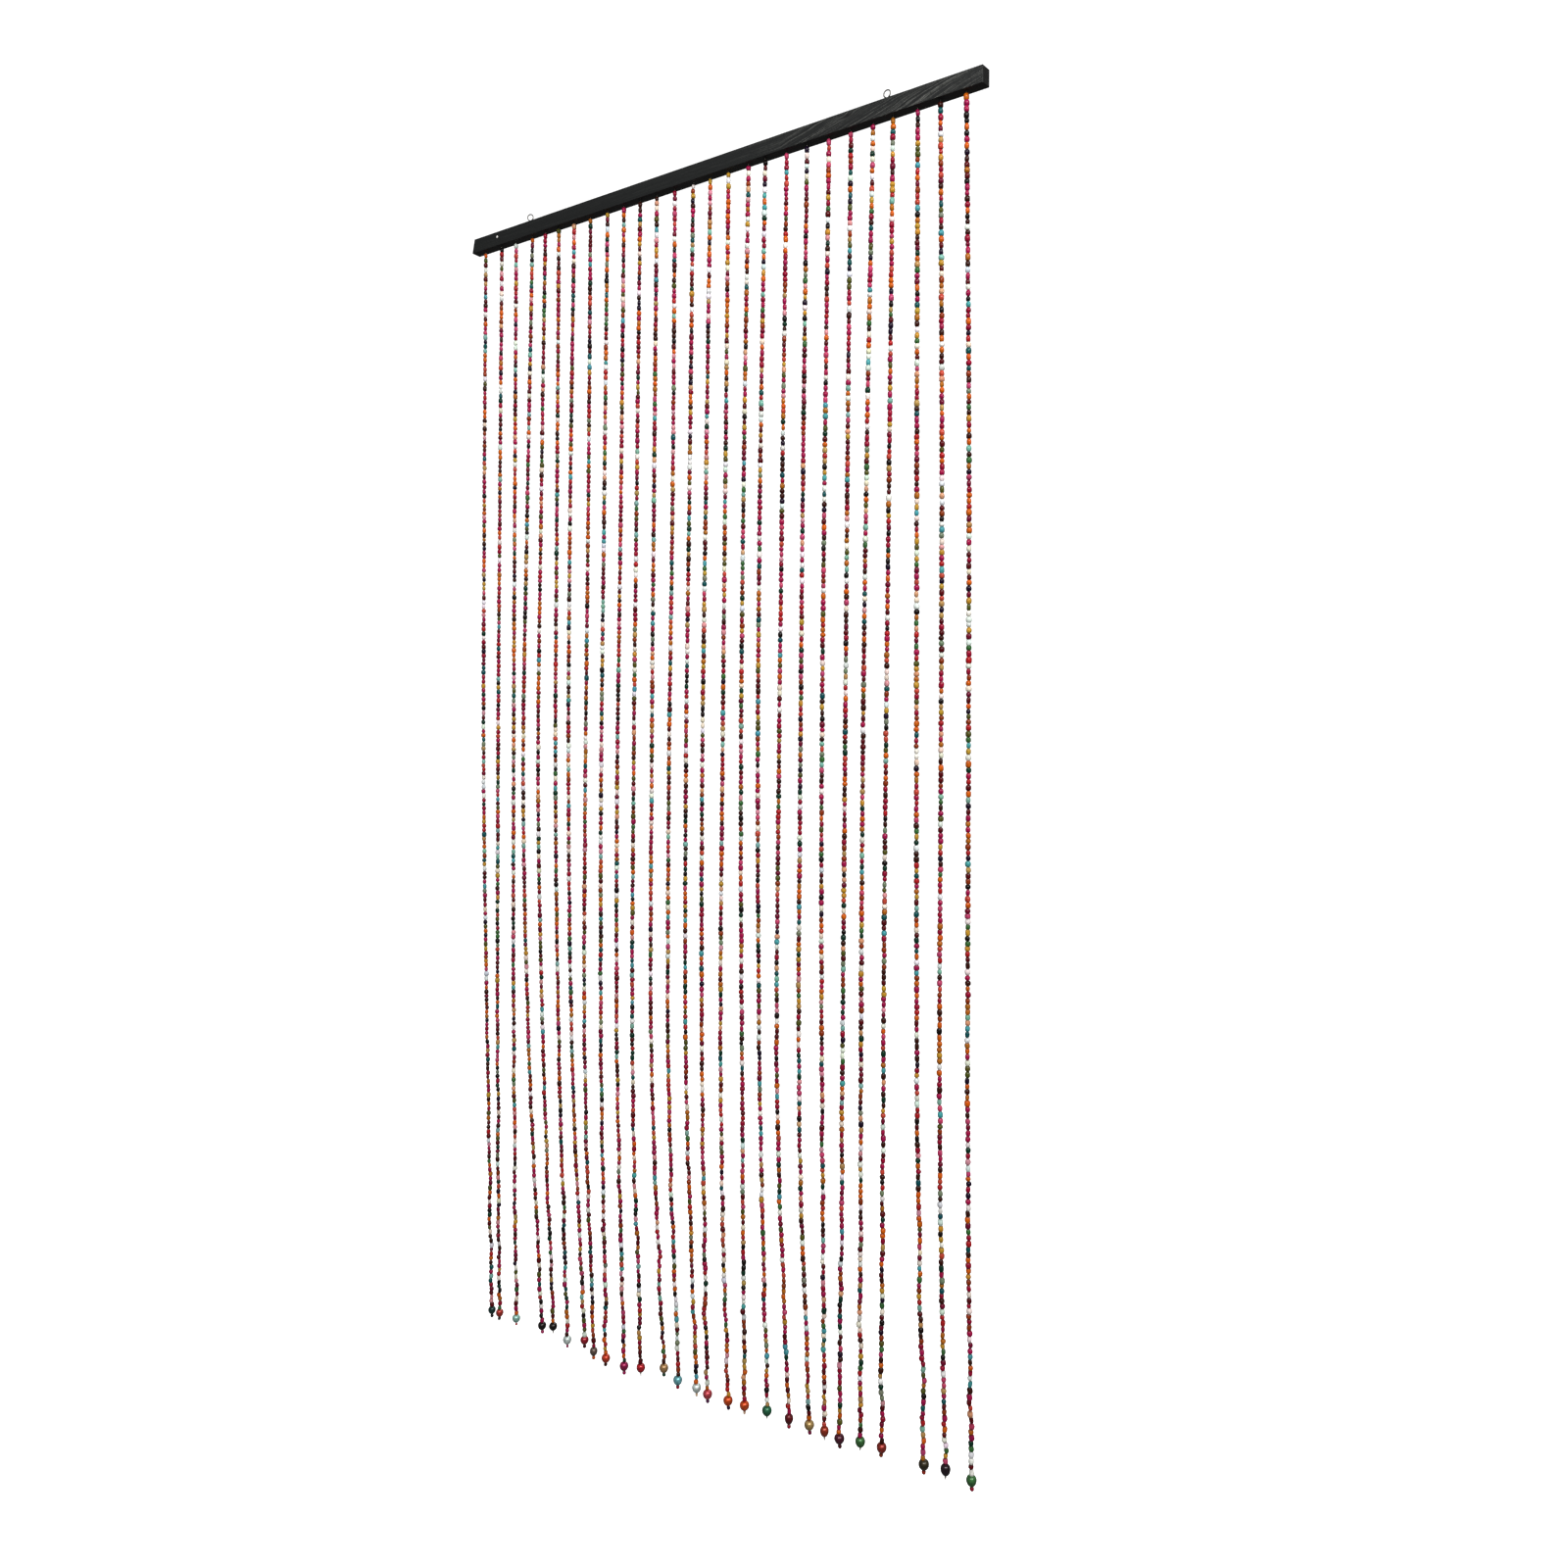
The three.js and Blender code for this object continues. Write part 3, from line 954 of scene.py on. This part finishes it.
def fittings_for(label):
    """The knot above the bar, and what is tied below the big bead."""
    _, stop_paint, lean, tie = strand_ends[label]
    salt = int(label)
    foot = Vector((threads[label][-1][0], 0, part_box(f"strand_{label}")[0].z + 2.5 * MM))
    aside = Vector((math.sin(math.radians(lean)) * 2.2 * MM, 0, 0))
    hang = Matrix.Translation(foot + aside) @ Matrix.Rotation(math.radians(-lean), 4, "Y")
    shape = bmesh.new()
    top_knot(shape, label)
    if tie == "knot":
        bare_knot(shape, foot, hang, salt)
    elif tie == "loop":
        thread_loop(shape, foot, hang, salt)
    else:
        stop_bead(shape, hang, tie)
    mesh = as_mesh(shape, f"fittings_{label}")
    mesh.materials.append(thread_material)
    mesh.materials.append(dyed_bead)
    painted(mesh, stop_paint)
    return mesh


print("ways to end a strand:", sorted({row[3] for row in strand_ends.values()}))

# %% [markdown]
# ## String the curtain
# Each strand gets its own seed. The finished mesh is plain, rides on the curtain's one body and
# stands for the plain strand.

# %% String every strand
TOP_WIDTH = 7.6 * MM
FOOT_WIDTH = 8.1 * MM
BEAD_LENGTH = 8.1 * MM
WOBBLE = 1.1 * MM
SWAY = 12 * MM
TILT = math.radians(13)
DENTS = 0.5 * MM
SEEDS_APART = 100
THREAD_WIDTH = 0.9 * MM


def ride_for(piece, node):
    """The piece goes with the curtain's one body and stands for a plain solid."""
    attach(piece, "root")
    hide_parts(node)


def strung(label):
    string = line_object(f"string_{label}", strings[label])
    beads = grown(stringing, string, {
        "Barrel": bead_shapes["barrel"], "Oval": bead_shapes["oval"], "Drum": bead_shapes["drum"],
        "Top width": TOP_WIDTH, "Foot width": FOOT_WIDTH, "Bead length": BEAD_LENGTH,
        "Wobble": WOBBLE, "Sway": SWAY, "Tilt": TILT, "Dents": DENTS,
        "Seed": SEEDS_APART * int(label), "Finish": dyed_bead,
    })
    line = line_object(f"thread_{label}", threads[label])
    thread = grown(
        sweep, line, {"Width": THREAD_WIDTH, "Sides": CORD_SIDES, "Finish": thread_material},
    )
    bpy.data.objects.remove(string)
    bpy.data.objects.remove(line)
    whole = merged(f"beads_on_thread_{label}", [beads, thread, fittings_for(label)])
    piece = linked(f"beads_on_thread_{label}", whole)
    ride_for(piece, f"strand_{label}")
    return piece


strung_pieces = [strung(label) for label in strand_labels]
print("faces strung:", sum(len(p.data.polygons) for p in strung_pieces))

# %% [markdown]
# ## The big beads
# Each big bead is turned, drilled and lacquered, a little wider above its middle than below, and
# not quite round. It keeps the width, height and place of its plain solid.

# %% Turn the big beads
BIG_SIDES = 32
BIG_STEPS = 16
BIG_BORE = 1.2 * MM
EGG = 0.1
UPPER_FULLNESS = 0.8
BORE_WAIST = 0.9
BORE_REACH = 0.42
DENT_DEPTH = 0.03
DENTS_PER_METRE = 160
DENTS_APART = 7.3


def big_bead_outline(width, height):
    """From the foot round to the bore. The upper half is fuller, like a shoulder."""
    first = math.asin(BIG_BORE / (width / 2))
    outline = []
    for step in range(BIG_STEPS + 1):
        angle = first + (math.pi - 2 * first) * step / BIG_STEPS
        egg = 1 - EGG * math.cos(angle)
        fullness = UPPER_FULLNESS if angle > math.pi / 2 else 1.0
        radius = math.sin(angle) ** fullness * width / 2 * egg
        outline.append((max(BIG_BORE, radius), -math.cos(angle) * height / 2))
    waist, reach = BIG_BORE * BORE_WAIST, height * BORE_REACH
    return outline + [(waist, reach), (waist, -reach)]


def big_bead(label):
    low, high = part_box(f"end_bead_{label}")
    centre = (low + high) / 2
    size = high - low
    mesh = turned(f"big_bead_{label}", big_bead_outline(size.x, size.z), BIG_SIDES)
    for vert in mesh.vertices:
        away = Vector((vert.co.x, vert.co.y, 0))
        dent = noise.noise(vert.co * DENTS_PER_METRE + Vector((int(label) * DENTS_APART, 0, 0)))
        vert.co += away * DENT_DEPTH * dent
        vert.co += centre
    lacquer = strand_ends[label][0]
    painted(mesh, lacquers[lacquer])
    mesh.materials.append(lacquered_bead)
    piece = linked(f"big_bead_{label}_lacquered", mesh)
    ride_for(piece, f"end_bead_{label}")
    return piece


big_beads = [big_bead(label) for label in strand_labels]
print("big beads:", len(big_beads))

for shape_object in bead_shapes.values():
    bpy.data.objects.remove(shape_object)

# %% [markdown]
# ## The bar's shape
# The bar is a planed batten: a section with rounded corners is set down at many places along X, a
# touch uneven where the plane lifted, and the rings are bridged. Both ends are sawn a little out
# of square, so the rings near them lean and turn.

# %% Shape the bar
BAR_EASE = 0.7 * MM
END_EASE = 0.5 * MM
CORNER_STEPS = 5
SECTION_STEP = 10 * MM
SAW_LEAN = 6 * MM
SAW_SKEW = 2 * MM
SAW_FADE = 8
PLANE_MARKS = (40, 300, 300)
PLANE_DEPTH = 0.12 * MM
bar_middle = (bar_low + bar_high) / 2
bar_size = bar_high - bar_low


def bar_section(inset):
    """The points round the bar's section, as (y, z)."""
    points = []
    reach = BAR_EASE - inset
    for corner in range(4):
        turn = math.radians(90 * corner)
        ahead = Vector((math.cos(turn + math.pi / 4), math.sin(turn + math.pi / 4)))
        side_y = math.copysign(bar_size.y / 2 - BAR_EASE, ahead.x)
        side_z = math.copysign(bar_size.z / 2 - BAR_EASE, ahead.y)
        for step in range(CORNER_STEPS + 1):
            angle = turn + math.pi / 2 * step / CORNER_STEPS
            points.append((side_y + math.cos(angle) * reach, side_z + math.sin(angle) * reach))
    return points


def bar_point(along, y, z):
    """A point of the bar's skin, with the saw's lean and skew and the plane's marks."""
    lean = (1 - along / bar_size.x) ** SAW_FADE * SAW_LEAN * (0.5 + z / bar_size.z)
    skew = (along / bar_size.x) ** SAW_FADE * SAW_SKEW * (0.5 - y / bar_size.y)
    place = Vector((bar_low.x + along + lean - skew, y, bar_middle.z + z))
    marks = Vector((place.x * PLANE_MARKS[0], y * PLANE_MARKS[1], z * PLANE_MARKS[2]))
    uneven = noise.noise(marks) * PLANE_DEPTH
    place.y -= math.copysign(abs(uneven), y)
    place.z -= math.copysign(abs(uneven), z)
    return place


def bar_mesh():
    shape = bmesh.new()
    count = round(bar_size.x / SECTION_STEP)
    stations = [(0.0, END_EASE), (END_EASE, 0.0)]
    stations += [(bar_size.x * k / count, 0.0) for k in range(1, count)]
    stations += [(bar_size.x - END_EASE, 0.0), (bar_size.x, END_EASE)]
    bridged(shape, [
        [shape.verts.new(bar_point(along, y, z)) for y, z in bar_section(inset)]
        for along, inset in stations
    ])
    bmesh.ops.recalc_face_normals(shape, faces=shape.faces)
    return as_mesh(shape, "bar")


bar_blank = linked("bar_blank", bar_mesh())
print("faces in the blank:", len(bar_blank.data.polygons))

# %% [markdown]
# ## The holes in the bar
# A thread runs through a hole right down the bar, and the eyes and the nail sit in pilot holes. A
# Boolean modifier cuts them all at once with one mesh of round cutters. Its result is taken as a
# plain mesh, and edges sharper than a limit stay crisp in the shading.

# %% Drill the bar
THREAD_HOLE = 3.2 * MM
EYE_HOLE = 2.5 * MM
NAIL_HOLE = 2.2 * MM
HOLE_SPARE = 0.3 * MM
SHARP_FROM = math.radians(35)


def drill(shape, start, end, width):
    """A round cutter between two points."""
    made = bmesh.ops.create_cone(
        shape, cap_ends=True, segments=16, radius1=width / 2, radius2=width / 2,
        depth=(end - start).length,
    )
    turn = (end - start).to_track_quat("Z", "Y").to_matrix().to_4x4()
    bmesh.ops.transform(shape, matrix=Matrix.Translation((start + end) / 2) @ turn, verts=made["verts"])


def drill_holes():
    shape = bmesh.new()
    for label in strand_labels:
        x = threads[label][0][0]
        drill(shape, Vector((x, 0, bar_low.z - MM)), Vector((x, 0, bar_high.z + MM)), THREAD_HOLE)
    for name in ("eye_left", "eye_right"):
        low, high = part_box(name)
        x = (low.x + high.x) / 2
        drill(shape, Vector((x, 0, low.z - HOLE_SPARE)), Vector((x, 0, bar_high.z + MM)), EYE_HOLE)
    low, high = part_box("nail")
    middle = (low + high) / 2
    front = Vector((middle.x, bar_low.y - MM, middle.z))
    drill(shape, front, Vector((middle.x, high.y + HOLE_SPARE, middle.z)), NAIL_HOLE)
    return linked("drill", as_mesh(shape, "drill"))


def drilled(blank):
    cutter = drill_holes()
    cut = blank.modifiers.new("drill", "BOOLEAN")
    cut.object = cutter
    cut.solver = "EXACT"
    depsgraph = bpy.context.evaluated_depsgraph_get()
    mesh = bpy.data.meshes.new_from_object(blank.evaluated_get(depsgraph), depsgraph=depsgraph)
    bpy.data.objects.remove(blank)
    bpy.data.objects.remove(cutter)
    mesh.materials.clear()
    mesh.materials.append(stained_wood)
    mesh.shade_smooth()
    mesh.set_sharp_from_angle(angle=SHARP_FROM)
    piece = linked("stained_bar", mesh)
    ride_for(piece, "bar")
    return piece


stained_bar = drilled(bar_blank)
print("faces in the bar:", len(stained_bar.data.polygons))

# %% [markdown]
# ## The eye screws
# An eye screw is one wire: it comes up out of the wood, turns round into a ring and stops just
# short of itself. The sweeping tree takes a round section along that line, and a thin ridge along
# a helix makes the screw's thread.

# %% Build the eye screws
WIRE = 1.9 * MM
WIRE_SIDES = 16
EYE_WIDTH = 12.5 * MM
EYE_BEND = 1.6 * MM
RING_FROM, RING_TO = math.radians(-112), math.radians(-427)
RING_STEPS = 40
SCREW_FROM = 2 * MM
SCREW_LENGTH = 10 * MM
SCREW_TURNS = 9
SCREW_STEPS = 16
RIDGE_WIDTH = 0.45 * MM
RIDGE_AT = 0.46
eye_turns = {"eye_left": 20, "eye_right": 0}


def eye_line(node):
    """The wire's middle: up the shank, over the bend and round the ring."""
    low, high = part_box(node)
    centre = Vector(((low.x + high.x) / 2, 0, high.z - EYE_WIDTH / 2))
    radius = (EYE_WIDTH - WIRE) / 2
    turn = Matrix.Rotation(math.radians(eye_turns[node]), 3, "Z")
    points = [Vector((centre.x, 0, z)) for z in (low.z + SCREW_FROM, centre.z - radius - EYE_BEND)]
    for step in range(RING_STEPS + 1):
        angle = RING_FROM + (RING_TO - RING_FROM) * step / RING_STEPS
        points.append(centre + turn @ Vector((math.cos(angle), 0, math.sin(angle))) * radius)
    return points


def screw_line(node):
    """A helix round the lower shank."""
    low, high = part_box(node)
    x = ((low + high) / 2).x
    helix = []
    steps = SCREW_TURNS * SCREW_STEPS
    for step in range(steps + 1):
        angle = 2 * math.pi * step / SCREW_STEPS
        rise = low.z + SCREW_FROM + SCREW_LENGTH * step / steps
        helix.append(Vector((
            x + math.cos(angle) * WIRE * RIDGE_AT, math.sin(angle) * WIRE * RIDGE_AT, rise,
        )))
    return helix


def eye_screw(node):
    wire_line = line_object("wire", eye_line(node))
    ring = grown(sweep, wire_line, {"Width": WIRE, "Sides": WIRE_SIDES, "Finish": eye_steel})
    helix_line = line_object("helix", screw_line(node))
    thread = grown(sweep, helix_line, {"Width": RIDGE_WIDTH, "Sides": 6, "Finish": eye_steel})
    bpy.data.objects.remove(wire_line)
    bpy.data.objects.remove(helix_line)
    piece = linked(f"{node}_screw", merged(f"{node}_screw", [ring, thread]))
    ride_for(piece, node)
    return piece


eyes = [eye_screw(name) for name in eye_turns]
print("eye screws:", [e.name for e in eyes])

# %% [markdown]
# ## The nail
# The nail is turned like a bead, from a closed outline: the point, the shank, and a low domed
# head that stands a little proud of the bar. It is made upright and then laid on its side.

# %% Turn the nail
NAIL_SIDES = 24
NAIL_SHANK = 0.8 * MM
NAIL_DOME = 0.8 * MM
NAIL_PROUD = 0.3 * MM
NAIL_AXIS = 0.0001 * MM
DOME_STEPS = 6


def nail_piece():
    low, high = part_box("nail")
    middle = (low + high) / 2
    head = (high.x - low.x) / 2
    point = bar_low.y - high.y
    rim = bar_low.y - NAIL_PROUD - low.y
    outline = [(NAIL_AXIS, point), (NAIL_SHANK, point + NAIL_SHANK), (NAIL_SHANK, NAIL_PROUD)]
    for step in range(DOME_STEPS):
        angle = math.radians(90 * step / DOME_STEPS)
        outline.append((head * math.cos(angle), NAIL_PROUD + NAIL_DOME * math.sin(angle)))
    mesh = turned("nail", outline + [(NAIL_AXIS, rim + NAIL_PROUD)], NAIL_SIDES)
    turn = Matrix.Translation((middle.x, bar_low.y, middle.z)) @ Matrix.Rotation(math.pi / 2, 4, "X")
    mesh.transform(turn)
    mesh.materials.append(pale_nail)
    piece = linked("nail_head", mesh)
    ride_for(piece, "nail")
    return piece


nail = nail_piece()

# %% [markdown]
# ## The floor
# The curtain hangs over a plain pale floor, which the photograph shows as white. The floor glows
# to the camera but throws no light of its own on the beads, so their undersides stay dark.

# %% Lay the floor
FLOOR_DROP = 60 * MM
FLOOR_REACH = 40.0
FLOOR_GLOW = 1.0
floor_z = solid_box[0][2] - FLOOR_DROP
floor_corners = [(-1, -1), (1, -1), (1, 1), (-1, 1)]
floor_mesh = bpy.data.meshes.new("floor")
floor_mesh.from_pydata(
    [(x * FLOOR_REACH, y * FLOOR_REACH, floor_z) for x, y in floor_corners], [], [(0, 1, 2, 3)],
)
floor = linked("floor", floor_mesh)
floor_material, floor_graph, floor_shader = new_finish("pale_floor")
wire(
    floor_graph, floor_shader, Base_Color=(0.93, 0.93, 0.93, 1), Roughness=0.9,
    Emission_Color=(1, 1, 1, 1), Emission_Strength=FLOOR_GLOW,
)
floor_mesh.materials.append(floor_material)
floor.visible_diffuse = False
floor.visible_glossy = False
print("floor at", round(floor_z, 3))

# %% [markdown]
# ## The room's light
# The room is a world shader. The camera sees plain white behind the curtain, and the beads see a
# soft light that is weaker from below, as in a room with pale walls.

# %% Light the room
ROOM_GLOW = 0.22
DARK_BELOW = 0.13
WHITE_TO_CAMERA = 1.2
world = bpy.data.worlds.new("room")
world.use_nodes = True
bpy.context.scene.world = world
room = Graph(world.node_tree)
world.node_tree.nodes.clear()
seen = room.add("ShaderNodeLightPath", output="Is Camera Ray")
toward = room.add("ShaderNodeTexCoord", output="Generated")
rise = room.add("ShaderNodeSeparateXYZ", None, {"Vector": toward}, output="Z")
around = room.add(
    "ShaderNodeMapRange", None,
    {"Value": rise, "From Min": -0.3, "From Max": 0.5, "To Min": DARK_BELOW, "To Max": ROOM_GLOW},
)
strength = around + seen * (WHITE_TO_CAMERA - around)
glow = room.add("ShaderNodeBackground", None, {"Color": (1, 1, 1, 1), "Strength": strength})
room.add("ShaderNodeOutputWorld", None, {"Surface": glow})
print("room glow:", DARK_BELOW, "to", ROOM_GLOW)

# %% [markdown]
# ## The lamps
# A big lamp high on the right puts the highlights on the big beads, one stands in front, and a
# weaker one behind lights the curtain's back. Each is a square area lamp, for soft edges.

# %% Set the lamps
def lamp(name, place, target, size, power):
    light = bpy.data.lights.new(name, "AREA")
    light.shape = "SQUARE"
    light.size = size
    light.energy = power
    made = bpy.data.objects.new(name, light)
    made.location = place
    made.rotation_euler = (Vector(target) - Vector(place)).to_track_quat("-Z", "Y").to_euler()
    bpy.context.scene.collection.objects.link(made)
    return made


lamps = [
    lamp("key", (3.1, -1.3, 1.5), target=(0, 0, -1.0), size=1.1, power=84),
    lamp("front", (1.2, -2.4, 0.8), target=(0, 0, -0.9), size=1.0, power=58),
    lamp("back", (-0.8, 2.6, 0.9), target=(0, 0, -0.9), size=1.0, power=30),
]
bpy.context.scene.view_settings.view_transform = "Standard"
print("lamps:", [(made.name, made.data.energy) for made in lamps])

# %% [markdown]
# ## The solids' size
# The box round the plain solids is printed.

# %% Print the solids' box
print("solids", solid_box)
